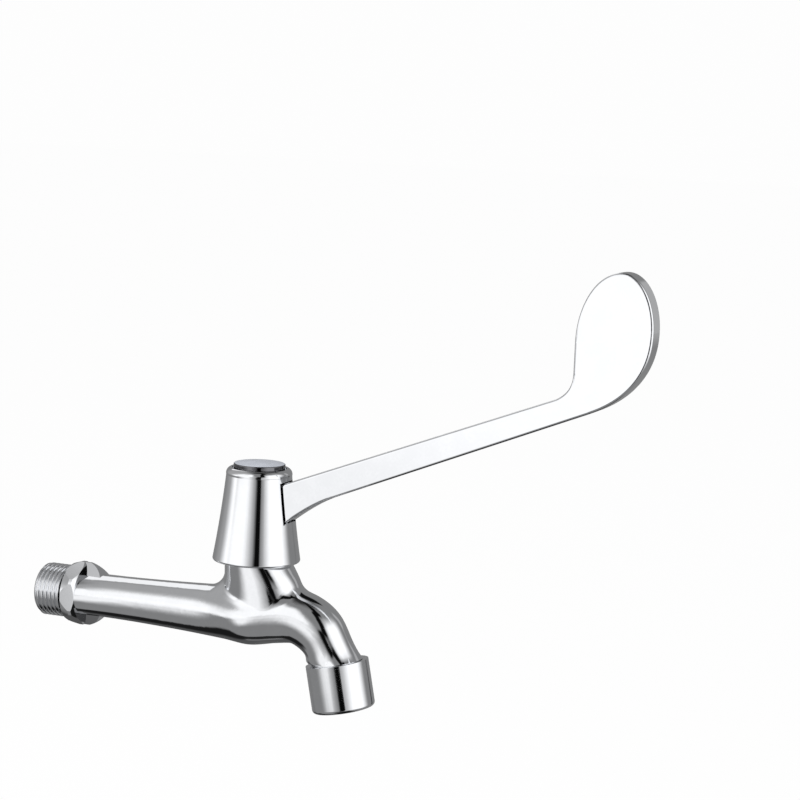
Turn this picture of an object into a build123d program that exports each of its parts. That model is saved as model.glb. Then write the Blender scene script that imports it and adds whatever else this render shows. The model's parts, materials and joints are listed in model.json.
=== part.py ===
from build123d import *
import os
from math import cos, exp, pi, radians, sin, tan

os.makedirs("parts", exist_ok=True)

# Long lever bib tap, millimetres. The origin lies on the inlet axis at the wall side of the
# spanner hexagon. +X runs along the pipe towards the room and +Z is up.

# How far cutting tools overshoot, and how deep joined shapes reach into each other
cut_overshoot = 1.0
joint_overlap = 0.5
hexagon_sides = 6

# Inlet tail: a G 1/2 male thread, drawn at its crests
thread_crest_r = 20.955 / 2
thread_length = 13.0
thread_lead = 1.3
inlet_bore_r = 5.5

# Spanner hexagon, the pipe's wider root behind it and the ridges above and below the root
hex_across_flats = 23.2
hex_length = 6.2
hex_crest_drop = 0.6
hex_wall_chamfer_rise = 1.1
hex_wall_chamfer_run = 3.6
hex_room_chamfer_run = 1.2
root_inset = 0.4
root_fade = 9.0
ridge_drop = 0.15
ridge_crest_length = 1.5
ridge_fall_length = 6.5
ridge_bulge = 0.8
ridge_half_width = 9.0

# Pipe and bulb: the casting's outside grows from the flare to the bulb under the handle
pipe_root_r = 8.4
pipe_swell_power = 1.8
pipe_stations = 10
handle_x = 80.0
bulb_half_height = 11.3
bulb_side = 2.0
bulb_reach = 12.0

# Neck that rises from the bulb into the handle
neck_r = 12.3
neck_wall = 1.85
neck_top_z = 28.0
neck_flare_top_z = 25.5
neck_flare_bottom_z = 3.5
neck_flare = 5.5
neck_flare_power = 0.9
neck_stations = 4
neck_fillet = 8.0

# Spout: an elbow that turns down, then flares a little to a mouth that leans forwards
spout_start_gap = 3.0
spout_start_z = 2.0
spout_start_r = 10.8
spout_bend_r = 18.4
spout_bend_turn = 70.0
spout_waist_r = 9.7
shoulder_stations = 2
elbow_stations = 3
mouth_reach = 20.3
mouth_drop = 15.8
mouth_r = 10.1
spout_tilt = 11.6

# Spigot and aerator collar on the spout's end
spigot_r = 9.4
spigot_bore_r = 7.3
spigot_length = 6.5
bore_step = 0.4
collar_r = 12.2
collar_length = 18.4
collar_seat_gap = 0.15
collar_edge_round = 1.5
collar_lip_thickness = 1.7
collar_lip_r = 8.3
screw_clearance = 0.05

# Parts inside the collar
aerator_clearance = 0.15
aerator_washer_thickness = 1.6
aerator_wall = 1.3
aerator_ledge = 0.7
diffuser_depth = 1.5
diffuser_slots = 12
diffuser_slot_start = 3.6
diffuser_slot_end = 6.6
diffuser_slot_width = 0.8
screen_thickness = 1.0
screen_hole_af = 1.7
screen_pitch = 2.1
screen_rings = 3

# Valve chamber and seat in the casting
chamber_floor_z = 7.6
seat_port_r = 5.0
seat_rim_width = 1.6
seat_rim_height = 0.7
inlet_end_past_axis = 4.5
outlet_bore_r = 5.0
outlet_start_past_axis = 4.0
outlet_start_rise = 5.3
outlet_start_turn = 8.0
outlet_shoulder_past_axis = 13.5
outlet_shoulder_rise = 1.4
outlet_shoulder_turn = 34.0
outlet_knee_turn = 42.0
outlet_knee_shift = 2.0
outlet_knee_r = 5.6

# Quarter-turn headwork
gasket_thickness = 0.8
gasket_width = 1.9
housing_thread_clearance = 0.1
housing_barrel_step = 1.15
housing_wall = 1.2
housing_hex_shoulder = 0.15
housing_hex_height = 4.8
housing_boss_r = 6.5
housing_boss_height = 3.6
barrel_above_seat = 1.0
window_height = 2.6
window_width = 7.5
seal_height = 2.5
seal_width = 2.5
seal_clearance = 0.2
disc_clearance = 0.1
disc_thickness = 3.0
disc_port_inner_r = 1.8
disc_port_margin = 1.3
disc_port_angle = 80.0
tongue_width = 2.4
tongue_depth = 1.2
tongue_clearance = 0.1
flange_r = 6.0
flange_height = 2.8
stop_lug_angle = 60.0
stop_slack_angle = 1.0
stop_clearance = 0.2
handle_turn = 90.0
thrust_washer_thickness = 0.6

# Spindle
spindle_r = 4.0
running_clearance = 0.05
o_ring_section_r = 0.5
o_ring_sides = 8
o_ring_groove_width = 1.3
o_ring_first_z = 24.0
o_ring_pitch = 4.0
circlip_thickness = 0.8
circlip_groove_depth = 0.55
circlip_r = 5.6
circlip_gap_angle = 50.0
circlip_end_float = 0.2
spline_teeth = 20
spline_tooth_depth = 0.4
spline_clearance = 0.06
spline_start_gap = 0.4
tapped_spare_depth = 1.0

# Handle hub: a tall cone open underneath
skirt_overlap = 6.2
skirt_gap = 2.5
skirt_wall = 2.2
skirt_lip_round = 0.9
hub_taper = 4.25
shoulder_drop = 2.8
hub_rim_width = 0.9
hub_waist = 0.25
shoulder_bulge_x = 0.38
shoulder_bulge_z = 0.42
hub_boss_r = 7.7
hub_boss_gap = 2.0
spline_engagement = 6.8
bush_r = 6.0
tang_space = 5.5
hub_plate_thickness = 2.0

# Index cap, its recess and the handle screw
recess_inset = 2.2
recess_depth = 1.9
cap_gap = 0.55
cap_rim_height = 3.6
cap_dome = 0.75
cap_edge_round = 0.5
cap_stem_wall = 0.8
cap_stem_length = 1.8
cap_pocket_height = 1.1
counterbore_r = 5.0
counterbore_depth = 2.8
screw_shank_r = 2.0
screw_length_in_spindle = 8.0
screw_head_r = 3.4
screw_head_height = 2.6
screw_socket_af = 2.5
screw_socket_depth = 1.5
screw_washer_gap = 0.4
screw_washer_thickness = 0.6

# Lever: a flat bar on edge that rises to an upright oval paddle
lever_thickness = 9.0
lever_edge_round = 0.9
lever_slot_side_gap = 1.2
lever_slot_height_gap = 0.5
lever_inner_gap = 0.5
lever_root_drop = 4.5
lever_root_depth = 14.8
lever_top_slope = 21.4
lever_low_root_slope = 38.0
lever_low_slope = 22.4

# The lever's side view: reach is from the handle's axis, rise from the root's top
lever_low_join_reach = 33.0
lever_low_join_drop = 3.5
lever_to_paddle = 7.7
paddle_left_reach = 126.2
paddle_low_rise = 52.3
paddle_straight = 11.0
paddle_left_height = 26.5
paddle_left_width = 16.9
paddle_right_width = 12.5
paddle_right_height = 21.0
paddle_heel_inset = 5.0
paddle_heel_drop = 1.0
paddle_toe_offset = 6.8

# The lever's tang, clamped under the hub's plate
tang_width = 8.0
tang_clearance = 0.15
tang_gap = 0.1
tang_overshoot = 2.0

# Derived sizes and places of the casting
hex_corner_r = hex_across_flats / 2 / cos(pi / hexagon_sides)
hex_crest_r = hex_corner_r - hex_crest_drop
hex_room_x = hex_length - hex_room_chamfer_run
root_start_x = hex_room_x - joint_overlap
ridge_crest_x = hex_length + ridge_crest_length
ridge_end_x = ridge_crest_x + ridge_fall_length
ridge_r = hex_crest_r - ridge_drop
bulb_half_width = neck_r + bulb_side
spout_start_x = handle_x + neck_r + spout_start_gap
mouth_x = spout_start_x + mouth_reach
mouth_z = spout_start_z - mouth_drop
mouth_turn = 90.0 - spout_tilt
chamber_bore_r = neck_r - neck_wall
seat_z = chamber_floor_z + seat_rim_height

# Derived sizes and places inside the collar
insert_r = spigot_r + screw_clearance - aerator_clearance
insert_start = spigot_length + aerator_washer_thickness
insert_end = collar_seat_gap + collar_length - collar_lip_thickness

# Derived radii of the headwork, from the chamber inwards
housing_thread_r = chamber_bore_r - housing_thread_clearance
housing_barrel_r = housing_thread_r - housing_barrel_step
housing_cavity_r = housing_barrel_r - housing_wall
housing_hex_af = 2 * (housing_thread_r + housing_hex_shoulder)
seal_outer_r = housing_cavity_r - seal_clearance
seal_inner_r = seal_outer_r - seal_width
disc_r = housing_cavity_r - disc_clearance
disc_port_outer_r = disc_r - disc_port_margin
spindle_bore_r = spindle_r + running_clearance

# Derived heights of the headwork, from the seat and the neck's top upwards
barrel_bottom_z = seat_z + barrel_above_seat
fixed_disc_z = seat_z + seal_height
moving_disc_z = fixed_disc_z + disc_thickness
flange_z = moving_disc_z + disc_thickness
thrust_washer_z = flange_z + flange_height
cavity_top_z = thrust_washer_z + thrust_washer_thickness
housing_hex_z = neck_top_z + gasket_thickness
housing_hex_top_z = housing_hex_z + housing_hex_height
housing_boss_top_z = housing_hex_top_z + housing_boss_height
circlip_z = housing_boss_top_z + circlip_end_float

# Derived heights of the hub, stacked on the headwork
skirt_bottom_z = neck_top_z - skirt_overlap
hub_boss_bottom_z = housing_boss_top_z + hub_boss_gap
spindle_top_z = hub_boss_bottom_z + spline_engagement
hub_plate_bottom_z = spindle_top_z + tang_space
counterbore_floor_z = hub_plate_bottom_z + hub_plate_thickness
recess_floor_z = counterbore_floor_z + counterbore_depth
hub_top_z = recess_floor_z + recess_depth
shoulder_z = hub_top_z - shoulder_drop
tang_bottom_z = spindle_top_z + 2 * tang_gap
tang_top_z = hub_plate_bottom_z - tang_gap
lever_top_root_z = hub_top_z - lever_root_drop
lever_low_root_z = lever_top_root_z - lever_root_depth

# Derived points of the lever's side view
lever_top_end_reach = paddle_left_reach - lever_to_paddle
paddle_left_rise = paddle_low_rise + paddle_straight
paddle_top_reach = paddle_left_reach + paddle_left_width
paddle_top_rise = paddle_left_rise + paddle_left_height
paddle_tip_reach = paddle_top_reach + paddle_right_width
paddle_tip_rise = paddle_top_rise - paddle_right_height
paddle_heel_reach = paddle_tip_reach - paddle_heel_inset
paddle_heel_rise = paddle_low_rise - paddle_heel_drop
paddle_toe_reach = paddle_left_reach + paddle_toe_offset

# Derived radii of the hub
skirt_r = neck_r + skirt_gap + skirt_wall
shoulder_r = skirt_r - hub_taper
recess_r = shoulder_r - recess_inset
hub_top_r = recess_r + hub_rim_width
cap_r = recess_r - cap_gap
lever_slot_start = hub_top_r - skirt_wall
lever_inner_reach = lever_slot_start + lever_inner_gap
screw_washer_r = counterbore_r - screw_washer_gap


def upright(radius, z_low, z_high, x=handle_x):
    """A vertical cylinder between two heights, on the handle's axis."""
    return Pos(x, 0, z_low) * Cylinder(
        radius, z_high - z_low, align=(Align.CENTER, Align.CENTER, Align.MIN)
    )


def ring(inner_r, outer_r, z_low, z_high):
    """A flat ring on the handle's axis."""
    return upright(outer_r, z_low, z_high) - upright(inner_r, z_low, z_high)


def sector(inner_r, outer_r, start_angle, end_angle, z_low, z_high):
    """A piece of a ring on the handle's axis, between two angles in degrees."""
    first = radians(start_angle)
    middle = radians((start_angle + end_angle) / 2)
    last = radians(end_angle)

    def at(radius, angle):
        return (radius * cos(angle), radius * sin(angle))

    outline = (
        ThreePointArc(at(outer_r, first), at(outer_r, middle), at(outer_r, last))
        + Line(at(outer_r, last), at(inner_r, last))
        + ThreePointArc(at(inner_r, last), at(inner_r, middle), at(inner_r, first))
        + Line(at(inner_r, first), at(outer_r, first))
    )
    return Pos(handle_x, 0, z_low) * extrude(make_face(outline), z_high - z_low)


def nozzle_place(distance=0.0):
    """The frame of the spout's mouth: local +Z leaves it along the nozzle's axis."""
    outwards = Vector(sin(radians(spout_tilt)), 0, -cos(radians(spout_tilt)))
    origin = Vector(mouth_x, 0, mouth_z) + outwards * distance
    return Plane(origin=origin, x_dir=(0, 1, 0), z_dir=outwards)


def nozzle_cylinder(radius, start, end):
    """A cylinder along the nozzle's axis, between two distances from the mouth."""
    return nozzle_place(start) * Cylinder(
        radius, end - start, align=(Align.CENTER, Align.CENTER, Align.MIN)
    )


def across_tube(x, z, turn):
    """The plane across the waterway at a point, turned down by an angle in degrees."""
    along = Vector(cos(radians(turn)), 0, -sin(radians(turn)))
    return Plane(origin=(x, 0, z), x_dir=(0, 1, 0), z_dir=along)


def elbow_point(turn):
    """The point of the spout's centre line where it has turned by an angle in degrees."""
    x = spout_start_x + spout_bend_r * sin(radians(turn))
    z = spout_start_z - spout_bend_r * (1 - cos(radians(turn)))
    return x, z


def tube_loft(stations):
    """A smooth tube through circles: each station is x, z, turn, radius."""
    return loft([across_tube(x, z, turn) * Circle(radius) for x, z, turn, radius in stations])


def hex_prism(across_flats, length):
    """A hexagonal prism along +Z, with two flats that face local +Y and -Y."""
    profile = RegularPolygon(across_flats / 2, hexagon_sides, major_radius=False)
    return extrude(profile, length)


def inlet_tail():
    """Thread stub and spanner hexagon, turned and chamfered as on a lathe."""
    stub = Polyline(
        (-thread_length, 0),
        (-thread_length, thread_crest_r - thread_lead),
        (-thread_length + thread_lead, thread_crest_r),
        (hex_length / 2, thread_crest_r),
        (hex_length / 2, 0),
        close=True,
    )
    stub = revolve(Plane.XY * make_face(stub), Axis.X)

    wall_r = hex_crest_r - hex_wall_chamfer_rise
    envelope = Polyline(
        (0, 0),
        (0, wall_r),
        (hex_wall_chamfer_run, hex_crest_r),
        (hex_room_x, hex_crest_r),
        (hex_length, hex_across_flats / 2),
        (hex_length, 0),
        close=True,
    )
    turned = revolve(Plane.XY * make_face(envelope), Axis.X)
    blank = Plane(origin=(0, 0, 0), x_dir=(0, 0, 1), z_dir=(1, 0, 0)) * hex_prism(
        hex_across_flats, hex_length
    )
    return stub + (turned & blank)


def ridges():
    """The two ridges that run on from the hexagon's upper and lower corner to the pipe."""
    foot_r = pipe_root_r - joint_overlap
    middle = ((ridge_crest_x + ridge_end_x) / 2, (ridge_r + foot_r) / 2 + ridge_bulge)
    outline = (
        Line((root_start_x, 0), (root_start_x, ridge_r))
        + Line((root_start_x, ridge_r), (ridge_crest_x, ridge_r))
        + ThreePointArc((ridge_crest_x, ridge_r), middle, (ridge_end_x, foot_r))
        + Line((ridge_end_x, foot_r), (ridge_end_x, 0))
        + Line((ridge_end_x, 0), (root_start_x, 0))
    )
    crest = revolve(Plane.XY * make_face(outline), Axis.X)
    diamond = Polyline(
        (0, hex_corner_r),
        (ridge_half_width, 0),
        (0, -hex_corner_r),
        (-ridge_half_width, 0),
        close=True,
    )
    roof = Plane(origin=(root_start_x, 0, 0), x_dir=(0, 1, 0), z_dir=(1, 0, 0)) * extrude(
        make_face(diamond), ridge_end_x - root_start_x
    )
    return crest & roof


def ease(share):
    """A smooth step from 0 to 1."""
    return (1 - cos(pi * share)) / 2


def bulge(x):
    """How much wider than high the casting is at a place along the pipe."""
    root = (hex_across_flats / 2 - root_inset - pipe_root_r) * exp((hex_length - x) / root_fade)
    bulb = (bulb_half_width - bulb_half_height) * exp(-(((x - handle_x) / bulb_reach) ** 2))
    return root + bulb


def outer_section(x, z, turn, half_height):
    """One section of the casting's outside, an oval that is wider round the valve."""
    return across_tube(x, z, turn) * Ellipse(half_height + bulge(x), half_height)


def outer_tube():
    """Pipe, bulb and elbow in one smooth loft of sections."""
    sections = []
    for step in range(pipe_stations):
        share = step / (pipe_stations - 1)
        x = hex_length + (handle_x - hex_length) * share
        half_height = pipe_root_r + (bulb_half_height - pipe_root_r) * share**pipe_swell_power
        sections.append(outer_section(x, 0, 0, half_height))
    for step in range(1, shoulder_stations + 1):
        share = step / shoulder_stations
        x = handle_x + (spout_start_x - handle_x) * share
        half_height = bulb_half_height + (spout_start_r - bulb_half_height) * ease(share)
        sections.append(outer_section(x, spout_start_z * ease(share), 0, half_height))
    for step in range(1, elbow_stations + 1):
        share = step / elbow_stations
        turn = spout_bend_turn * share
        half_height = spout_start_r + (spout_waist_r - spout_start_r) * share
        sections.append(outer_section(*elbow_point(turn), turn, half_height))
    sections.append(nozzle_place() * Circle(mouth_r))
    return loft(sections)


def neck():
    """The neck: round on top, and below it an oval that reaches forwards to the spout."""
    sections = [Pos(handle_x, 0, neck_top_z) * Circle(neck_r)]
    for step in range(neck_stations):
        share = step / (neck_stations - 1)
        z = neck_flare_top_z + (neck_flare_bottom_z - neck_flare_top_z) * share
        reach = neck_flare * share**neck_flare_power
        sections.append(Pos(handle_x + reach, 0, z) * Ellipse(neck_r + reach, neck_r))
    return loft(sections)


def waterway():
    """Everything bored or cored out of the casting."""
    inlet = Pos(-thread_length, 0, 0) * (
        Rot(0, 90, 0)
        * Cylinder(
            inlet_bore_r,
            thread_length + handle_x + inlet_end_past_axis,
            align=(Align.CENTER, Align.CENTER, Align.MIN),
        )
    )
    port = upright(seat_port_r, 0, seat_z + cut_overshoot)
    chamber = upright(chamber_bore_r, chamber_floor_z, neck_top_z)
    rim_r = seat_port_r + seat_rim_width
    rim = ring(seat_port_r, rim_r, chamber_floor_z - cut_overshoot, seat_z)
    start_x = handle_x + outlet_start_past_axis
    start_z = chamber_floor_z + outlet_start_rise
    shoulder_x = handle_x + outlet_shoulder_past_axis
    shoulder_z_in = chamber_floor_z + outlet_shoulder_rise
    knee_x, knee_z = elbow_point(outlet_knee_turn)
    knee_x = knee_x - outlet_knee_shift
    outlet = tube_loft(
        [
            (start_x, start_z, outlet_start_turn, outlet_bore_r),
            (shoulder_x, shoulder_z_in, outlet_shoulder_turn, outlet_bore_r),
            (knee_x, knee_z, outlet_knee_turn, outlet_knee_r),
            (mouth_x, mouth_z, mouth_turn, spigot_bore_r - bore_step),
        ]
    )
    spigot = nozzle_cylinder(spigot_bore_r, -bore_step, spigot_length)
    return inlet + port + (chamber - rim) + outlet + spigot


def tap_body():
    """The casting: tail, pipe, bulb, neck, spout and spigot, with its waterway."""
    form = outer_tube() + neck()
    joint = [
        edge
        for edge in form.edges()
        if edge.bounding_box().min.X > handle_x - bulb_half_width
        and edge.bounding_box().max.X < mouth_x
        and edge.bounding_box().max.Z < neck_flare_top_z
    ]
    form = fillet(joint, neck_fillet)
    spigot = nozzle_cylinder(spigot_r, 0, spigot_length)
    return form + spigot + ridges() + inlet_tail() - waterway()


def aerator_collar():
    """The plain collar: an inner lip holds the insert, the spigot screws in from above."""
    start = collar_seat_gap
    end = start + collar_length
    sleeve = nozzle_cylinder(collar_r, start, end)
    rim = sleeve.edges().filter_by(GeomType.CIRCLE).sort_by(Axis.Z)[0]
    sleeve = fillet(rim, collar_edge_round)
    bore = nozzle_cylinder(spigot_r + screw_clearance, start, insert_end)
    mouth = nozzle_cylinder(collar_lip_r, insert_end, end)
    return sleeve - bore - mouth


def aerator_washer():
    """The rubber washer between the spigot and the insert."""
    end = spigot_length + aerator_washer_thickness
    washer = nozzle_cylinder(insert_r, spigot_length, end)
    return washer - nozzle_cylinder(spigot_bore_r, spigot_length, end)


def aerator_insert():
    """The moulded cage: a tube with a ledge for each of its two discs."""
    cage = nozzle_cylinder(insert_r, insert_start, insert_end)
    inner_r = insert_r - aerator_wall
    waist_start = insert_start + diffuser_depth
    waist_end = insert_end - screen_thickness
    top_seat = nozzle_cylinder(inner_r, insert_start, waist_start)
    waist = nozzle_cylinder(inner_r - aerator_ledge, waist_start, waist_end)
    bottom_seat = nozzle_cylinder(inner_r, waist_end, insert_end)
    return cage - top_seat - waist - bottom_seat


def aerator_diffuser():
    """The plate with a ring of radial jet slots, in the cage's upper seat."""
    radius = insert_r - aerator_wall
    plate = nozzle_cylinder(radius, insert_start, insert_start + diffuser_depth)
    jets = PolarLocations((diffuser_slot_start + diffuser_slot_end) / 2, diffuser_slots)
    slot = Box(
        diffuser_slot_end - diffuser_slot_start,
        diffuser_slot_width,
        diffuser_depth,
        align=(Align.CENTER, Align.CENTER, Align.MIN),
    )
    return plate - nozzle_place(insert_start) * jets * slot


def aerator_screen():
    """The outlet screen: a honeycomb of small hexagonal holes."""
    radius = insert_r - aerator_wall
    start = insert_end - screen_thickness
    disc = nozzle_cylinder(radius, start, insert_end)
    hole = hex_prism(screen_hole_af, screen_thickness)
    places = [Location((0, 0, 0))]
    for circle in range(1, screen_rings + 1):
        for spoke in range(6):
            for step in range(circle):
                first = radians(60 * spoke)
                turn = radians(60 * spoke + 120)
                x = screen_pitch * (circle * cos(first) + step * cos(turn))
                y = screen_pitch * (circle * sin(first) + step * sin(turn))
                places.append(Location((x, y, 0)))
    return disc - [nozzle_place(start).location * place * hole for place in places]


def neck_gasket():
    """The ring between the neck's top and the headwork's hexagon."""
    return ring(
        housing_thread_r + running_clearance,
        housing_thread_r + gasket_width,
        neck_top_z,
        housing_hex_z,
    )


def seat_seal():
    """The rubber ring that stands on the seat and carries the fixed disc."""
    return ring(seal_inner_r, seal_outer_r, seat_z, fixed_disc_z)


def housing_hexagon():
    """The headwork's hexagon, chamfered on top."""
    prism = Pos(handle_x, 0, housing_hex_z) * hex_prism(housing_hex_af, housing_hex_height)
    corner_r = housing_hex_af / 2 / cos(pi / hexagon_sides)
    chamfer = (corner_r - housing_hex_af / 2) / 2
    dome = upright(corner_r, housing_hex_z, housing_hex_top_z)
    top_rim = dome.edges().filter_by(GeomType.CIRCLE).sort_by(Axis.Z)[-1]
    return prism & fillet(top_rim, chamfer * 2)


def cartridge_housing():
    """The headwork's brass body with barrel, windows, stop rib and spindle bore."""
    barrel = upright(housing_barrel_r, barrel_bottom_z, neck_top_z)
    thread = upright(housing_thread_r, cavity_top_z, housing_hex_z)
    boss = upright(housing_boss_r, housing_hex_z, housing_boss_top_z)
    cavity = upright(housing_cavity_r, barrel_bottom_z, cavity_top_z)
    bore = upright(spindle_bore_r, cavity_top_z, housing_boss_top_z)
    window = Pos(handle_x, 0, moving_disc_z + disc_thickness / 2) * Box(
        4 * housing_barrel_r, window_width, window_height
    )
    free_angle = handle_turn + stop_lug_angle + stop_slack_angle
    rib = sector(
        flange_r + stop_clearance,
        housing_cavity_r + joint_overlap,
        free_angle,
        360 - stop_slack_angle,
        flange_z + stop_clearance,
        cavity_top_z,
    )
    return barrel + thread + boss + housing_hexagon() - cavity - bore - window + rib


def disc_ports(z_low, z_high, start_angle):
    """The two opposite quarter openings of a ceramic disc."""
    return [
        sector(
            disc_port_inner_r,
            disc_port_outer_r,
            start_angle + half - disc_port_angle / 2,
            start_angle + half + disc_port_angle / 2,
            z_low,
            z_high,
        )
        for half in (0, 180)
    ]


def fixed_disc():
    """The lower ceramic disc, keyed in the barrel."""
    disc = upright(disc_r, fixed_disc_z, moving_disc_z)
    return disc - disc_ports(fixed_disc_z, moving_disc_z, 0)


def moving_disc():
    """The upper ceramic disc with the slot for the spindle's tongue; shut at rest."""
    disc = upright(disc_r, moving_disc_z, flange_z)
    slot = Pos(handle_x, 0, flange_z - tongue_depth / 2) * Box(
        2 * (tongue_width + tongue_clearance),
        2 * disc_r,
        tongue_depth,
    )
    return disc - disc_ports(moving_disc_z, flange_z, 90) - slot


def tooth_outline(outer_r):
    """The outline of the 20-tooth spline with its tips at a radius."""
    corners = []
    for index in range(2 * spline_teeth):
        angle = pi * index / spline_teeth
        radius = outer_r - spline_tooth_depth * (index % 2)
        corners.append((radius * cos(angle), radius * sin(angle)))
    return make_face(Polyline(*corners, close=True))


def spindle():
    """Tongue, flange with stop lug, shaft with grooves, and the splined, tapped end."""
    tongue = Pos(handle_x, 0, flange_z - tongue_depth / 2) * Box(
        2 * tongue_width, 2 * flange_r, tongue_depth
    )
    tongue = tongue & upright(flange_r, flange_z - tongue_depth, flange_z)
    flange = upright(flange_r, flange_z, thrust_washer_z)
    lug = sector(
        flange_r - joint_overlap,
        housing_cavity_r - stop_clearance,
        0,
        stop_lug_angle,
        flange_z,
        thrust_washer_z,
    )
    spline_bottom_z = circlip_z + circlip_thickness + spline_start_gap
    shaft = upright(spindle_r, thrust_washer_z, spline_bottom_z)
    spline = Pos(handle_x, 0, spline_bottom_z) * extrude(
        tooth_outline(spindle_r), spindle_top_z - spline_bottom_z
    )
    form = tongue + flange + lug + shaft + spline
    for index in range(2):
        middle = o_ring_first_z + index * o_ring_pitch
        form -= ring(
            spindle_r - 2 * o_ring_section_r,
            spindle_r + cut_overshoot,
            middle - o_ring_groove_width / 2,
            middle + o_ring_groove_width / 2,
        )
    form -= ring(
        spindle_r - circlip_groove_depth,
        spindle_r + cut_overshoot,
        circlip_z,
        circlip_z + circlip_thickness,
    )
    tapped_r = screw_shank_r + screw_clearance
    tapped_depth = screw_length_in_spindle + tapped_spare_depth
    return form - upright(tapped_r, spindle_top_z - tapped_depth, spindle_top_z)


def spindle_o_rings():
    """The two shaft seals in their grooves."""
    middle_r = spindle_r - o_ring_section_r
    section = Pos(middle_r, 0) * RegularPolygon(
        o_ring_section_r, o_ring_sides, major_radius=False, rotation=180 / o_ring_sides
    )
    seal = revolve(Plane.XZ * section, Axis.Z)
    places = [Pos(handle_x, 0, o_ring_first_z + index * o_ring_pitch) for index in range(2)]
    return Compound([place * seal for place in places])


def thrust_washer():
    """The slip ring between the flange and the roof of the housing's cavity."""
    return ring(
        spindle_bore_r,
        flange_r,
        thrust_washer_z,
        cavity_top_z,
    )


def spindle_circlip():
    """The open spring clip in the spindle's top groove."""
    inner_r = spindle_r - circlip_groove_depth + running_clearance
    half_gap = circlip_gap_angle / 2
    return sector(
        inner_r, circlip_r, half_gap, 360 - half_gap, circlip_z, circlip_z + circlip_thickness
    )


def spline_bush():
    """The moulded bush in the hub's boss, splined to match the spindle."""
    blank = upright(bush_r, hub_boss_bottom_z, spindle_top_z)
    socket = Pos(handle_x, 0, hub_boss_bottom_z) * extrude(
        tooth_outline(spindle_r + spline_clearance), spindle_top_z - hub_boss_bottom_z
    )
    return blank - socket


def hub_radius(z):
    """Outside radius of the hub's tapering wall at a height."""
    share = (z - skirt_bottom_z) / (shoulder_z - skirt_bottom_z)
    return skirt_r + (shoulder_r - skirt_r) * share - 4 * hub_waist * share * (1 - share)


def hub_blank():
    """The hub's turned outside: waisted taper, rounded shoulder and recessed rim."""
    middle_z = (skirt_bottom_z + shoulder_z) / 2
    lip_inset = skirt_lip_round * (1 - cos(pi / 4))
    shoulder_corner = (
        (hub_top_r + shoulder_r) / 2 + shoulder_bulge_x,
        (hub_top_z + shoulder_z) / 2 + shoulder_bulge_z,
    )
    outline = (
        Line((0, skirt_bottom_z), (skirt_r - skirt_lip_round, skirt_bottom_z))
        + ThreePointArc(
            (skirt_r - skirt_lip_round, skirt_bottom_z),
            (skirt_r - lip_inset, skirt_bottom_z + lip_inset),
            (skirt_r, skirt_bottom_z + skirt_lip_round),
        )
        + ThreePointArc(
            (skirt_r, skirt_bottom_z + skirt_lip_round),
            (hub_radius(middle_z), middle_z),
            (shoulder_r, shoulder_z),
        )
        + ThreePointArc((shoulder_r, shoulder_z), shoulder_corner, (hub_top_r, hub_top_z))
        + Line((hub_top_r, hub_top_z), (0, hub_top_z))
        + Line((0, hub_top_z), (0, skirt_bottom_z))
    )
    return Pos(handle_x, 0, 0) * revolve(Plane.XZ * make_face(outline), Axis.Z)


def hub_cavity():
    """The space under the hub's top plate, outside its central boss."""
    cone = Pos(handle_x, 0, skirt_bottom_z) * Cone(
        skirt_r - skirt_wall,
        hub_radius(hub_plate_bottom_z) - skirt_wall,
        hub_plate_bottom_z - skirt_bottom_z,
        align=(Align.CENTER, Align.CENTER, Align.MIN),
    )
    return cone - upright(hub_boss_r, hub_boss_bottom_z, hub_plate_bottom_z)


def tang_bar(side_gap, height_gap):
    """The lever's tang, or with gaps its slot, from behind the screw to outside the hub."""
    half_width = tang_width / 2 + side_gap
    low = tang_bottom_z - height_gap
    high = tang_top_z + height_gap
    reach = skirt_r + tang_overshoot
    bar = Pos(handle_x + reach / 2, 0, (low + high) / 2) * Box(reach, 2 * half_width, high - low)
    return bar + upright(half_width, low, high)


def lever_point(reach, rise):
    """A point of the lever's side view."""
    return (handle_x + reach, lever_top_root_z + rise)


def lever_top_rise(reach):
    """Rise of the lever's straight top line at a reach."""
    return (reach - hub_radius(lever_top_root_z)) * tan(radians(lever_top_slope))


def lever_root_rise(reach):
    """Rise of the lever's lower line at a reach near its root."""
    root_reach = hub_radius(lever_low_root_z)
    return (reach - root_reach) * tan(radians(lever_low_root_slope)) - lever_root_depth


def lever_slot():
    """The opening in the hub's wall round the lever's root."""
    end = skirt_r + tang_overshoot
    outline = Polyline(
        lever_point(lever_slot_start, lever_top_rise(lever_slot_start) + lever_slot_height_gap),
        lever_point(end, lever_top_rise(end) + lever_slot_height_gap),
        lever_point(end, lever_root_rise(end) - lever_slot_height_gap),
        lever_point(lever_slot_start, lever_root_rise(lever_slot_start) - lever_slot_height_gap),
        close=True,
    )
    half_width = lever_thickness / 2 + lever_slot_side_gap
    return extrude(Plane.XZ.offset(-half_width) * make_face(outline), 2 * half_width)


def handle_cone():
    """The turning hub with its boss, tang slot, recess and screw hole."""
    socket = upright(bush_r, hub_boss_bottom_z, spindle_top_z + tang_gap)
    recess = upright(recess_r, recess_floor_z, hub_top_z)
    counterbore = upright(counterbore_r, counterbore_floor_z, recess_floor_z)
    hole = upright(
        screw_shank_r + tang_clearance,
        hub_plate_bottom_z - cut_overshoot,
        counterbore_floor_z,
    )
    slots = tang_bar(tang_clearance, tang_gap) + lever_slot()
    return hub_blank() - hub_cavity() - socket - recess - counterbore - hole - slots




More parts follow.
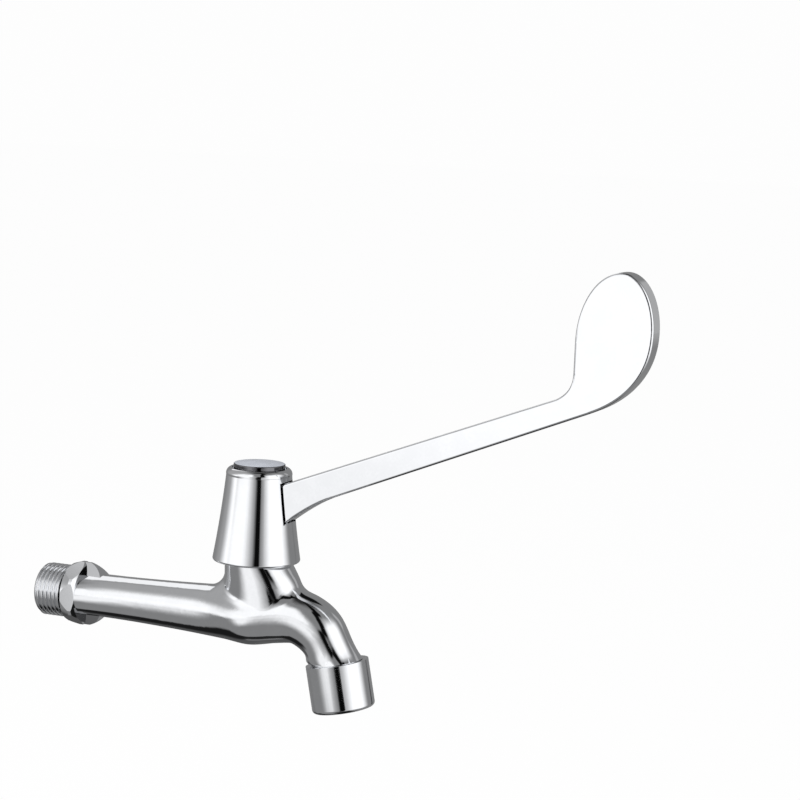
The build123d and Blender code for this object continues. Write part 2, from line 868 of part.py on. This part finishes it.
def lever_outline():
    """The lever's side view: a straight bar, a deeper root and an upright oval paddle."""
    low_slope = tan(radians(lever_low_slope))
    inner_top = lever_point(lever_inner_reach, lever_top_rise(lever_inner_reach))
    inner_low = lever_point(lever_inner_reach, lever_root_rise(lever_inner_reach))
    low_root_reach = hub_radius(lever_low_root_z)
    low_root = lever_point(low_root_reach, lever_root_rise(low_root_reach))
    low_join = lever_point(lever_low_join_reach, -lever_low_join_drop)
    toe_rise = (paddle_toe_reach - lever_low_join_reach) * low_slope - lever_low_join_drop
    toe = lever_point(paddle_toe_reach, toe_rise)
    top_end = lever_point(lever_top_end_reach, lever_top_rise(lever_top_end_reach))
    left_low = lever_point(paddle_left_reach, paddle_low_rise)
    left = lever_point(paddle_left_reach, paddle_left_rise)
    tip = lever_point(paddle_tip_reach, paddle_tip_rise)
    heel = lever_point(paddle_heel_reach, paddle_heel_rise)
    top_way = (1, tan(radians(lever_top_slope)))
    low_way = (-1, -low_slope)
    root_way = (-1, -tan(radians(lever_low_root_slope)))
    return make_face(
        Line(inner_top, top_end)
        + Spline(top_end, left_low, tangents=[top_way, (0, 1)])
        + Line(left_low, left)
        + EllipticalCenterArc(
            lever_point(paddle_top_reach, paddle_left_rise),
            paddle_left_width,
            paddle_left_height,
            180,
            arc_size=-90,
        )
        + EllipticalCenterArc(
            lever_point(paddle_top_reach, paddle_tip_rise),
            paddle_right_width,
            paddle_right_height,
            90,
            arc_size=-90,
        )
        + Spline(tip, heel, toe, tangents=[(0, -1), low_way])
        + Line(toe, low_join)
        + Spline(low_join, low_root, tangents=[low_way, root_way])
        + Line(low_root, inner_low)
        + Line(inner_low, inner_top)
    )


def lever_arm():
    """The flat lever on edge, which passes through the hub's wall, and its tang."""
    side = Plane.XZ.offset(-lever_thickness / 2) * lever_outline()
    bar = extrude(side, lever_thickness)
    flats = bar.faces().filter_by(Axis.Y)
    rims = [edge for face in flats for edge in face.edges() if edge.center().X > handle_x + skirt_r]
    bar = fillet(rims, lever_edge_round)
    tang = tang_bar(0, 0) - upright(screw_shank_r + tang_clearance, tang_bottom_z, tang_top_z)
    return bar + tang


def screw_washer():
    """The flat washer under the handle screw's head."""
    return ring(
        screw_shank_r + tang_clearance,
        screw_washer_r,
        counterbore_floor_z,
        counterbore_floor_z + screw_washer_thickness,
    )


def handle_screw():
    """The socket screw that clamps hub and lever to the spindle."""
    head_z = counterbore_floor_z + screw_washer_thickness
    shank = upright(screw_shank_r, spindle_top_z - screw_length_in_spindle, head_z)
    head = upright(screw_head_r, head_z, head_z + screw_head_height)
    socket_z = head_z + screw_head_height - screw_socket_depth
    socket = Pos(handle_x, 0, socket_z) * hex_prism(screw_socket_af, screw_socket_depth)
    return shank + head - socket


def index_cap():
    """The domed disc with the short ring that clips into the counterbore."""
    stem_r = counterbore_r - running_clearance
    rim_z = recess_floor_z + cap_rim_height
    crown_r = (cap_r**2 + cap_dome**2) / (2 * cap_dome)
    disc = upright(cap_r, recess_floor_z, rim_z + cap_dome)
    crown = Pos(handle_x, 0, rim_z + cap_dome - crown_r) * Rot(90, 0, 0) * Sphere(crown_r)
    disc = disc & crown
    rim = disc.edges().filter_by(GeomType.CIRCLE).sort_by(Axis.Z)[-1]
    disc = fillet(rim, cap_edge_round)
    stem = upright(stem_r, recess_floor_z - cap_stem_length, recess_floor_z)
    pocket = upright(
        stem_r - cap_stem_wall,
        recess_floor_z - cap_stem_length,
        recess_floor_z + cap_pocket_height,
    )
    return disc + stem - pocket


parts = {
    "tap_body": tap_body,
    "aerator_collar": aerator_collar,
    "aerator_washer": aerator_washer,
    "aerator_insert": aerator_insert,
    "aerator_diffuser": aerator_diffuser,
    "aerator_screen": aerator_screen,
    "neck_gasket": neck_gasket,
    "seat_seal": seat_seal,
    "cartridge_housing": cartridge_housing,
    "fixed_disc": fixed_disc,
    "moving_disc": moving_disc,
    "spindle": spindle,
    "spindle_o_rings": spindle_o_rings,
    "thrust_washer": thrust_washer,
    "spindle_circlip": spindle_circlip,
    "spline_bush": spline_bush,
    "handle_cone": handle_cone,
    "lever_arm": lever_arm,
    "screw_washer": screw_washer,
    "handle_screw": handle_screw,
    "index_cap": index_cap,
}

for name, build in parts.items():
    export_step(build(), f"parts/{name}.step")
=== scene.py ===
import json
from math import ceil, cos, floor, pi, radians, sin

import bpy
from mathutils import Matrix, Vector


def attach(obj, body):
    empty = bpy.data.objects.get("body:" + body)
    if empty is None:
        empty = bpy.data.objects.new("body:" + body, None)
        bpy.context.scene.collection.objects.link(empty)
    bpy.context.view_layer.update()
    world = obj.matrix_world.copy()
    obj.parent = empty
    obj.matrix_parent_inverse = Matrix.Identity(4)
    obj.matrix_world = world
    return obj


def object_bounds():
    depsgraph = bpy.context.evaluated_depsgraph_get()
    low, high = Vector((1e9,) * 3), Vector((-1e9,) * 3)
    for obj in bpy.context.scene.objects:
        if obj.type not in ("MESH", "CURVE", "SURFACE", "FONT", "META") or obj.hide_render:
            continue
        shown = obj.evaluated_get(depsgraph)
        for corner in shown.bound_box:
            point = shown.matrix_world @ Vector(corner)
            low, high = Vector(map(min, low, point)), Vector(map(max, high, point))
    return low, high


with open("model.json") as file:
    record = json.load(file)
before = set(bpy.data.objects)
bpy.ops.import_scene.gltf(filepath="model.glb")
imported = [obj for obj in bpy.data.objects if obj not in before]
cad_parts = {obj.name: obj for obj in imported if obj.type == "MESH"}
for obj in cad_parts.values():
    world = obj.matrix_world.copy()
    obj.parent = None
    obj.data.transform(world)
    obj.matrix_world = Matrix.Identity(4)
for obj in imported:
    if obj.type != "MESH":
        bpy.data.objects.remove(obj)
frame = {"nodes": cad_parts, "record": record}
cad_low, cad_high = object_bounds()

# Metres and degrees. The inlet axis lies on +X and the handle's axis is upright.

# Camera at the photograph's viewing angle
CAMERA_PLACE = (0.4887, -0.8690, 0.2136)
CAMERA_RIGHT = (0.9242, 0.3797, 0.0413)
CAMERA_UP = (-0.0878, 0.1059, 0.9905)
CAMERA_LENS = 113.3
CAMERA_SENSOR = 36.0
CAMERA_CLIP_END = 100.0

# Floor: its tones, and how far it is lifted to white where the background shows
FLOOR_DROP = 0.12
FLOOR_HALF_WIDTH = 8.0
FLOOR_DARK = (0.90, 0.90, 0.90)
FLOOR_LIGHT = (0.93, 0.93, 0.93)
FLOOR_SPECKLE = 30.0
FLOOR_LIFT = 0.94

# World: its strength as light, and where the background shows
WORLD_LIGHT = 0.75
WORLD_SEEN = 0.985

# One soft lamp
KEY_PLACE = (-0.35, -0.7, 1.1)
KEY_SIZE = 0.9
KEY_WATTS = 9.0

# The studio cards stand on spheres round the tap's middle, and their meshes have even steps
CARD_MIDDLE_Z = 0.02
CARD_DISTANCE = 3.0
CARD_SPACING = 0.05
CARD_STEP = 6.0

# Studio cards, outermost first. Azimuth 0 looks towards -Y and 90 towards +X. Each row has the
# name, azimuths, elevations and level, and how far the side edges and the lower and upper
# edges fade.
CARDS = [
    ("surround", (-180, 180), (-90, 90), 0.25, (0, 0), (0, 0)),
    ("left_grey", (-135, -5), (-12, 82), 0.42, (40, 25), (14, 25)),
    ("ceiling", (-180, 180), (62, 90), 0.03, (0, 0), (22, 0)),
    ("key_card", (-80, 20), (-8, 40), 1.25, (36, 38), (10, 24)),
    ("key_band", (-92, -50), (-9, 15), 1.3, (34, 12), (7, 9)),
    ("key_top", (-64, 12), (10, 60), 1.2, (26, 24), (10, 34)),
    ("key_high", (-25, 5), (6, 56), 1.2, (9, 9), (8, 18)),
    ("lever_card", (-32, -6), (-18, 4), 1.25, (8, 8), (9, 6)),
    ("right_soft", (26, 62), (-38, 3), 0.5, (7, 12), (14, 6)),
    ("right_card", (31, 130), (-38, 57), 1.3, (34, 34), (26, 27)),
    ("top_left_strip", (-158, -113), (25, 62), 1.1, (8, 7), (7, 8)),
    ("low_left_dim", (-172, -95), (-72, -18), 0.09, (22, 14), (10, 12)),
    ("low_left_dark", (-138, -70), (-84, -36), 0.012, (22, 14), (8, 10)),
    ("under_left", (-180, -62), (-90, -68), 0.02, (0, 16), (0, 8)),
    ("under_right", (50, 180), (-90, -56), 0.02, (16, 0), (0, 10)),
    ("back_dark_line", (144, 158), (-20, -2), 0.02, (4, 4), (5, 5)),
    ("back_low_dark", (160, 200), (-84, -46), 0.006, (8, 8), (8, 8)),
    ("back_high_dark", (152, 198), (50, 76), 0.006, (8, 8), (6, 6)),
    ("flag_low", (9, 33), (-34, 2), 0.003, (6, 3), (12, 4)),
    ("flag_side", (11, 34), (-3, 22), 0.004, (10, 4), (4, 8)),
    ("flag_middle", (26, 50), (8, 66), 0.004, (5, 9), (10, 8)),
    ("flag_high", (30, 66), (48, 90), 0.004, (9, 9), (10, 0)),
]

# Cards nearer to the tap. Each row starts with the point it stands round and the distance.
NEAR_CARDS = [
    ((0.1, 0.0, 0.0), 0.3, "key_low", (-58, 16), (-36, 10), 1.1, (28, 34), (26, 10)),
    ((0.2, 0.0, 0.11), 0.25, "paddle_edge", (150, 171), (-9, 32), 0.45, (5, 5), (8, 8)),
    ((0.165, 0.5, 0.3), 0.71, "lever_under", (-7, 7), (-52, -32), 0.01, (3, 3), (4, 3)),
]

# G 1/2 thread: 14 to the inch, Whitworth form
THREAD_PITCH = 0.0254 / 14
THREAD_CREST_R = 0.020955 / 2
THREAD_DEPTH = 0.00105
THREAD_CORE_R = THREAD_CREST_R - THREAD_DEPTH
THREAD_END_X = -0.013
THREAD_LEAD = 0.0013
THREAD_RUN_OUT = 0.0011
THREAD_RUN_OUT_START = 0.35
THREAD_FLAT = 0.16
THREAD_ROWS_PER_PITCH = 14
THREAD_AROUND = 120
INLET_BORE_R = 0.0055
STUB_MARGIN = 0.0001

# Texture scales and details of every finish
GRAIN_SCALE = 900.0
GRAIN_DETAIL = 4.0
RIPPLE_SCALE = 45.0
RIPPLE_DETAIL = 1.0
CLOUD_SCALE = 160.0
CLOUD_DETAIL = 3.0
RIPPLE_DEPTH = 0.00002
GRAIN_DEPTH = 0.000002

# Stretches of a value over which a finish changes, and how much duller its edges are
WHOLE = (0.0, 1.0)
CLOUD_SPAN = (0.3, 0.75)
TONE_SPAN = (0.15, 0.4)
EDGE_SPAN = (0.53, 0.62)
EDGE_WEAR = 0.08

# The index cap: how upright a normal is on the satin top, how metallic that top is, and the
# rim's tone and share of the top's roughness.
# The rim's tone is painted shade: a dark tone on the faces beside the top, in place of the
# shade in the recess round the cap.
TOP_SPAN = (0.75, 0.94)
TOP_METALLIC = 0.25
# Painted shade: the rim's dark tone stands in for the shade in the recess round the cap.
RIM_PAINTED_SHADE = (0.17, 0.17, 0.18)
RIM_ROUGH_SHARE = 0.2

# The finish of each of the record's material slots: two tones and the span of its roughness
FINISHES = {
    "chrome_plate": {
        "dark": (0.79, 0.80, 0.82), "light": (0.82, 0.83, 0.85), "rough": (0.03, 0.055),
        "metallic": 1.0, "ripple_depth": 0.000006, "grain_depth": 0.000001,
    },
    "cap_insert": {
        "dark": (0.58, 0.61, 0.68), "light": (0.64, 0.67, 0.74), "rough": (0.24, 0.32),
    },
    "brass": {
        "dark": (0.62, 0.45, 0.18), "light": (0.78, 0.60, 0.28), "rough": (0.22, 0.34),
        "metallic": 1.0, "stretch": (1.0, 1.0, 12.0),
    },
    "ceramic": {
        "dark": (0.84, 0.83, 0.79), "light": (0.92, 0.92, 0.89), "rough": (0.12, 0.2),
    },
    "seal_rubber": {
        "dark": (0.018, 0.018, 0.02), "light": (0.045, 0.045, 0.048), "rough": (0.55, 0.72),
        "grain_depth": 0.00001,
    },
    "aerator_plastic": {
        "dark": (0.72, 0.74, 0.76), "light": (0.82, 0.84, 0.86), "rough": (0.35, 0.48),
        "grain_depth": 0.000006,
    },
    "bush_plastic": {
        "dark": (0.80, 0.80, 0.77), "light": (0.88, 0.88, 0.85), "rough": (0.38, 0.5),
        "grain_depth": 0.000006,
    },
    "steel": {
        "dark": (0.50, 0.50, 0.52), "light": (0.62, 0.62, 0.64), "rough": (0.22, 0.34),
        "metallic": 1.0, "stretch": (1.0, 1.0, 10.0),
    },
}


def node_tree(name):
    """A new material with an empty node tree, and its output node."""
    material = bpy.data.materials.new(name)
    material.use_nodes = True
    tree = material.node_tree
    tree.nodes.clear()
    output = tree.nodes.new("ShaderNodeOutputMaterial")
    return material, tree, output


def noise(tree, coordinates, scale, detail, stretch=None):
    """A noise texture on object coordinates, stretched along an axis if asked."""
    texture = tree.nodes.new("ShaderNodeTexNoise")
    texture.inputs["Scale"].default_value = scale
    texture.inputs["Detail"].default_value = detail
    source = coordinates
    if stretch:
        mapping = tree.nodes.new("ShaderNodeMapping")
        mapping.inputs["Scale"].default_value = stretch
        tree.links.new(coordinates, mapping.inputs["Vector"])
        source = mapping.outputs["Vector"]
    tree.links.new(source, texture.inputs["Vector"])
    return texture.outputs["Fac"]


def spread(tree, value, span, result=WHOLE):
    """Maps a value from one span to another, clamped, with smooth ends."""
    node = tree.nodes.new("ShaderNodeMapRange")
    node.interpolation_type = "SMOOTHSTEP"
    node.inputs["From Min"].default_value = span[0]
    node.inputs["From Max"].default_value = span[1]
    node.inputs["To Min"].default_value = result[0]
    node.inputs["To Max"].default_value = result[1]
    tree.links.new(value, node.inputs["Value"])
    return node.outputs["Result"]


def join(tree, operation, first, second):
    """A math node on two sockets, or on a socket and a number."""
    node = tree.nodes.new("ShaderNodeMath")
    node.operation = operation
    tree.links.new(first, node.inputs[0])
    if isinstance(second, float):
        node.inputs[1].default_value = second
    else:
        tree.links.new(second, node.inputs[1])
    return node.outputs["Value"]


def tint(tree, factor, dark, light):
    """Colour between two tones."""
    node = tree.nodes.new("ShaderNodeMix")
    node.data_type = "RGBA"
    node.inputs["A"].default_value = (*dark, 1.0)
    node.inputs["B"].default_value = (*light, 1.0)
    tree.links.new(factor, node.inputs["Factor"])
    return node.outputs["Result"]


def bump(tree, height, depth, under=None):
    """A bump node of full strength, over another one where given."""
    node = tree.nodes.new("ShaderNodeBump")
    node.inputs["Strength"].default_value = 1.0
    node.inputs["Distance"].default_value = depth
    tree.links.new(height, node.inputs["Height"])
    if under:
        tree.links.new(under, node.inputs["Normal"])
    return node.outputs["Normal"]


def surface(name, dark, light, rough, metallic=0.0, ripple_depth=RIPPLE_DEPTH,
            grain_depth=GRAIN_DEPTH, stretch=None):
    """A finish with tone, gloss and relief that vary, and edges rubbed a little duller."""
    material, tree, output = node_tree(name)
    shader = tree.nodes.new("ShaderNodeBsdfPrincipled")
    shader.inputs["Metallic"].default_value = metallic
    place = tree.nodes.new("ShaderNodeTexCoord").outputs["Object"]
    fine = noise(tree, place, GRAIN_SCALE, GRAIN_DETAIL, stretch)
    broad = noise(tree, place, RIPPLE_SCALE, RIPPLE_DETAIL)
    cloud = noise(tree, place, CLOUD_SCALE, CLOUD_DETAIL)
    edges = tree.nodes.new("ShaderNodeNewGeometry").outputs["Pointiness"]
    worn = spread(tree, edges, EDGE_SPAN, (0.0, EDGE_WEAR))
    gloss = spread(tree, cloud, CLOUD_SPAN, rough)
    tree.links.new(join(tree, "ADD", gloss, worn), shader.inputs["Roughness"])
    tone = spread(tree, join(tree, "MULTIPLY", fine, cloud), TONE_SPAN)
    tree.links.new(tint(tree, tone, dark, light), shader.inputs["Base Color"])
    relief = bump(tree, broad, ripple_depth)
    relief = bump(tree, fine, grain_depth, relief)
    tree.links.new(relief, shader.inputs["Normal"])
    tree.links.new(shader.outputs["BSDF"], output.inputs["Surface"])
    return material


def paint_rim_shade(material):
    """Keeps a satin top and paints shade on the faces beside it: a dark, glossy metallic tone
    in place of the shade in the recess round the cap.
    """
    tree = material.node_tree
    shader = tree.nodes["Principled BSDF"]
    normal = tree.nodes.new("ShaderNodeSeparateXYZ")
    geometry = tree.nodes.new("ShaderNodeNewGeometry")
    tree.links.new(geometry.outputs["Normal"], normal.inputs[0])
    top = spread(tree, normal.outputs["Z"], TOP_SPAN)
    # Painted shade: the faces that are not upright get the dark rim tone, standing in for the
    # shade in the recess round the cap.
    tone = tree.nodes.new("ShaderNodeMix")
    tone.data_type = "RGBA"
    tone.inputs["A"].default_value = (*RIM_PAINTED_SHADE, 1.0)
    tree.links.new(shader.inputs["Base Color"].links[0].from_socket, tone.inputs["B"])
    tree.links.new(top, tone.inputs["Factor"])
    tree.links.new(tone.outputs["Result"], shader.inputs["Base Color"])
    tree.links.new(spread(tree, top, WHOLE, (1.0, TOP_METALLIC)), shader.inputs["Metallic"])
    rough = shader.inputs["Roughness"].links[0].from_socket
    share = spread(tree, top, WHOLE, (RIM_ROUGH_SHARE, 1.0))
    tree.links.new(join(tree, "MULTIPLY", rough, share), shader.inputs["Roughness"])


def dress(obj, material):
    """Gives an object one material in its first slot."""
    if obj.data.materials:
        obj.data.materials[0] = material
    else:
        obj.data.materials.append(material)


def mesh_object(name, points, faces, smooth=True):
    """A new mesh object in the scene."""
    mesh = bpy.data.meshes.new(name)
    mesh.from_pydata(points, [], faces)
    mesh.validate()
    for face in mesh.polygons:
        face.use_smooth = smooth
    obj = bpy.data.objects.new(name, mesh)
    bpy.context.scene.collection.objects.link(obj)
    return obj


def thread_height(turns):
    """Height of the thread form from 0 to 1 across one pitch, with rounded roots and crests."""
    share = turns - floor(turns)
    ramp = 1 - abs(2 * share - 1)
    ramp = min(max((ramp - THREAD_FLAT) / (1 - 2 * THREAD_FLAT), 0.0), 1.0)
    return ramp * ramp * (3 - 2 * ramp)


def thread_radius(x, turn):
    """Radius of the inlet thread at a place along the axis and a share of a turn."""
    end_share = min((x - THREAD_END_X) / THREAD_LEAD, 1.0)
    crest = THREAD_CREST_R - THREAD_LEAD * (1 - end_share)
    run_out = min(max(-x / THREAD_RUN_OUT - THREAD_RUN_OUT_START, 0.0), 1.0)
    radius = THREAD_CORE_R + THREAD_DEPTH * thread_height(x / THREAD_PITCH + turn) * run_out
    return min(radius, crest)


def inlet_thread():
    """The helical thread with its lead chamfer and its end ring down to the bore."""
    rows = ceil(-THREAD_END_X / THREAD_PITCH * THREAD_ROWS_PER_PITCH)
    points = []
    for row in range(rows + 1):
        x = THREAD_END_X * (1 - row / rows)
        for step in range(THREAD_AROUND):
            turn = step / THREAD_AROUND
            radius = thread_radius(x, turn)
            points.append((x, radius * cos(2 * pi * turn), radius * sin(2 * pi * turn)))
    faces = []
    for row in range(rows):
        for step in range(THREAD_AROUND):
            after = (step + 1) % THREAD_AROUND
            low = row * THREAD_AROUND
            high = low + THREAD_AROUND
            faces.append((low + step, low + after, high + after, high + step))
    bore_start = len(points)
    for step in range(THREAD_AROUND):
        angle = 2 * pi * step / THREAD_AROUND
        points.append((THREAD_END_X, INLET_BORE_R * cos(angle), INLET_BORE_R * sin(angle)))
    for step in range(THREAD_AROUND):
        after = (step + 1) % THREAD_AROUND
        faces.append((bore_start + step, bore_start + after, after, step))
    obj = mesh_object("inlet_thread", points, faces)
    for face in obj.data.polygons[-THREAD_AROUND:]:
        face.use_smooth = False
    return obj


def open_stub(body):
    """Takes the plain stub's faces away by a modifier, where the helical thread stands."""
    tree = bpy.data.node_groups.new("open_stub", "GeometryNodeTree")
    tree.interface.new_socket("Geometry", in_out="INPUT", socket_type="NodeSocketGeometry")
    tree.interface.new_socket("Geometry", in_out="OUTPUT", socket_type="NodeSocketGeometry")
    entry = tree.nodes.new("NodeGroupInput")
    leave = tree.nodes.new("NodeGroupOutput")
    place = tree.nodes.new("GeometryNodeInputPosition")
    parts = tree.nodes.new("ShaderNodeSeparateXYZ")
    tree.links.new(place.outputs[0], parts.inputs[0])
    y_square = join(tree, "MULTIPLY", parts.outputs["Y"], parts.outputs["Y"])
    z_square = join(tree, "MULTIPLY", parts.outputs["Z"], parts.outputs["Z"])
    square = join(tree, "ADD", y_square, z_square)
    outside = join(tree, "GREATER_THAN", square, (INLET_BORE_R + STUB_MARGIN) ** 2)
    behind = join(tree, "LESS_THAN", parts.outputs["X"], -STUB_MARGIN)
    both = join(tree, "MULTIPLY", outside, behind)
    delete = tree.nodes.new("GeometryNodeDeleteGeometry")
    delete.domain = "FACE"
    tree.links.new(entry.outputs[0], delete.inputs["Geometry"])
    tree.links.new(both, delete.inputs["Selection"])
    tree.links.new(delete.outputs["Geometry"], leave.inputs[0])
    modifier = body.modifiers.new("open_stub", "NODES")
    modifier.node_group = tree


def direction(azimuth, elevation):
    """Unit vector: azimuth 0 looks towards -Y and 90 towards +X."""
    a = radians(azimuth)
    e = radians(elevation)
    return Vector((sin(a) * cos(e), -cos(a) * cos(e), sin(e)))


def stops(start, end, soft):
    """Places along one side of a card: even steps and the inner ends of its soft edges."""
    count = max(1, ceil((end - start) / CARD_STEP))
    places = {start + (end - start) * index / count for index in range(count + 1)}
    places |= {start + soft[0], end - soft[1]}
    return sorted(places)


def fade(value, start, end, soft):
    """How solid a card is at a place: 0 at a soft edge, 1 inside the edges."""
    solid = 1.0
    if soft[0]:
        solid = min(solid, (value - start) / soft[0])
    if soft[1]:
        solid = min(solid, (end - value) / soft[1])
    return max(0.0, solid)


def card_material(name, level):
    """Plain light of a given level that fades out towards the card's edges."""
    material, tree, output = node_tree(name)
    light = tree.nodes.new("ShaderNodeEmission")
    light.inputs["Strength"].default_value = level
    clear = tree.nodes.new("ShaderNodeBsdfTransparent")
    solid = tree.nodes.new("ShaderNodeAttribute")
    solid.attribute_name = "solid"
    mix = tree.nodes.new("ShaderNodeMixShader")
    tree.links.new(spread(tree, solid.outputs["Fac"], WHOLE), mix.inputs["Fac"])
    tree.links.new(clear.outputs["BSDF"], mix.inputs[1])
    tree.links.new(light.outputs["Emission"], mix.inputs[2])
    tree.links.new(mix.outputs["Shader"], output.inputs["Surface"])
    material.cycles.emission_sampling = "NONE"
    return material


def card(middle, distance, name, azimuths, elevations, level, sides, ends):
    """A curved studio card round a middle point that only the chrome's reflections see."""
    columns = stops(*azimuths, sides)
    rows = stops(*elevations, ends)
    places = [(a, e) for e in rows for a in columns]
    points = [Vector(middle) + direction(a, e) * distance for a, e in places]
    width = len(columns)
    faces = []
    for row in range(len(rows) - 1):
        for column in range(width - 1):
            corner = row * width + column
            faces.append((corner, corner + 1, corner + width + 1, corner + width))
    obj = mesh_object(name, points, faces)
    solid = obj.data.attributes.new("solid", "FLOAT", "POINT")
    values = [fade(a, *azimuths, sides) * fade(e, *elevations, ends) for a, e in places]
    solid.data.foreach_set("value", values)
    dress(obj, card_material(name, level))
    obj.visible_camera = False
    obj.visible_diffuse = False
    obj.visible_shadow = False
    obj.visible_transmission = False


def seen_rays(tree):
    """1 for rays that show the background: to the camera, in gloss and through glass."""
    path = tree.nodes.new("ShaderNodeLightPath")
    shown = join(tree, "MAXIMUM", path.outputs["Is Camera Ray"], path.outputs["Is Glossy Ray"])
    return join(tree, "MAXIMUM", shown, path.outputs["Is Transmission Ray"])


def floor_material():
    """Pale floor that shows white and keeps the tap's shadow."""
    material, tree, output = node_tree("floor")
    matt = tree.nodes.new("ShaderNodeBsdfDiffuse")
    place = tree.nodes.new("ShaderNodeTexCoord").outputs["Object"]
    speckle = noise(tree, place, FLOOR_SPECKLE, CLOUD_DETAIL)
    tree.links.new(tint(tree, speckle, FLOOR_DARK, FLOOR_LIGHT), matt.inputs["Color"])
    white = tree.nodes.new("ShaderNodeEmission")
    mix = tree.nodes.new("ShaderNodeMixShader")
    share = spread(tree, seen_rays(tree), WHOLE, (0.0, FLOOR_LIFT))
    tree.links.new(share, mix.inputs["Fac"])
    tree.links.new(matt.outputs["BSDF"], mix.inputs[1])
    tree.links.new(white.outputs["Emission"], mix.inputs[2])
    tree.links.new(mix.outputs["Shader"], output.inputs["Surface"])
    return material


def floor_plane():
    """The plain floor under the tap."""
    z = cad_low.z - FLOOR_DROP
    half = FLOOR_HALF_WIDTH
    corners = [(-half, -half, z), (half, -half, z), (half, half, z), (-half, half, z)]
    obj = mesh_object("floor", corners, [(0, 1, 2, 3)], smooth=False)
    dress(obj, floor_material())
    obj.visible_glossy = False


def world_light():
    """A plain white world."""
    world = bpy.data.worlds.new("studio")
    bpy.context.scene.world = world
    world.use_nodes = True
    tree = world.node_tree
    background = tree.nodes["Background"]
    background.inputs["Color"].default_value = (1.0, 1.0, 1.0, 1.0)
    strength = spread(tree, seen_rays(tree), WHOLE, (WORLD_LIGHT, WORLD_SEEN))
    tree.links.new(strength, background.inputs["Strength"])


def key_lamp():
    """One soft lamp that the chrome doesn't mirror."""
    lamp = bpy.data.lights.new("key", "AREA")
    lamp.size = KEY_SIZE
    lamp.energy = KEY_WATTS
    obj = bpy.data.objects.new("key", lamp)
    obj.location = KEY_PLACE
    obj.rotation_mode = "QUATERNION"
    obj.rotation_quaternion = (-Vector(KEY_PLACE)).to_track_quat("-Z", "Y")
    obj.visible_glossy = False
    bpy.context.scene.collection.objects.link(obj)


def studio():
    """Cards for the reflections, the floor, the world and the lamp."""
    middle = ((cad_low.x + cad_high.x) / 2, 0.0, CARD_MIDDLE_Z)
    for order, spec in enumerate(CARDS):
        card(middle, CARD_DISTANCE - CARD_SPACING * order, *spec)
    for spec in NEAR_CARDS:
        card(*spec)
    floor_plane()
    world_light()
    key_lamp()


def camera():
    """The camera at the photograph's place."""
    data = bpy.data.cameras.new("camera")
    data.sensor_width = CAMERA_SENSOR
    data.lens = CAMERA_LENS
    data.clip_end = CAMERA_CLIP_END
    obj = bpy.data.objects.new("camera", data)
    right = Vector(CAMERA_RIGHT).normalized()
    up = (Vector(CAMERA_UP) - right * right.dot(Vector(CAMERA_UP))).normalized()
    back = right.cross(up)
    turn = Matrix((right, up, back)).transposed()
    obj.matrix_world = Matrix.Translation(CAMERA_PLACE) @ turn.to_4x4()
    bpy.context.scene.collection.objects.link(obj)
    bpy.context.scene.camera = obj


camera()
studio()

materials = {name: surface(name, **finish) for name, finish in FINISHES.items()}
# Painted shade on the index cap's rim.
paint_rim_shade(materials["cap_insert"])
slots = {part["node"]: part["material_slot"] for part in frame["record"]["subparts"]}
for node, obj in frame["nodes"].items():
    dress(obj, materials[slots[node]])

open_stub(frame["nodes"]["tap_body"])
thread = inlet_thread()
dress(thread, materials["chrome_plate"])
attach(thread, "tap")

bpy.context.scene.view_settings.view_transform = "Standard"
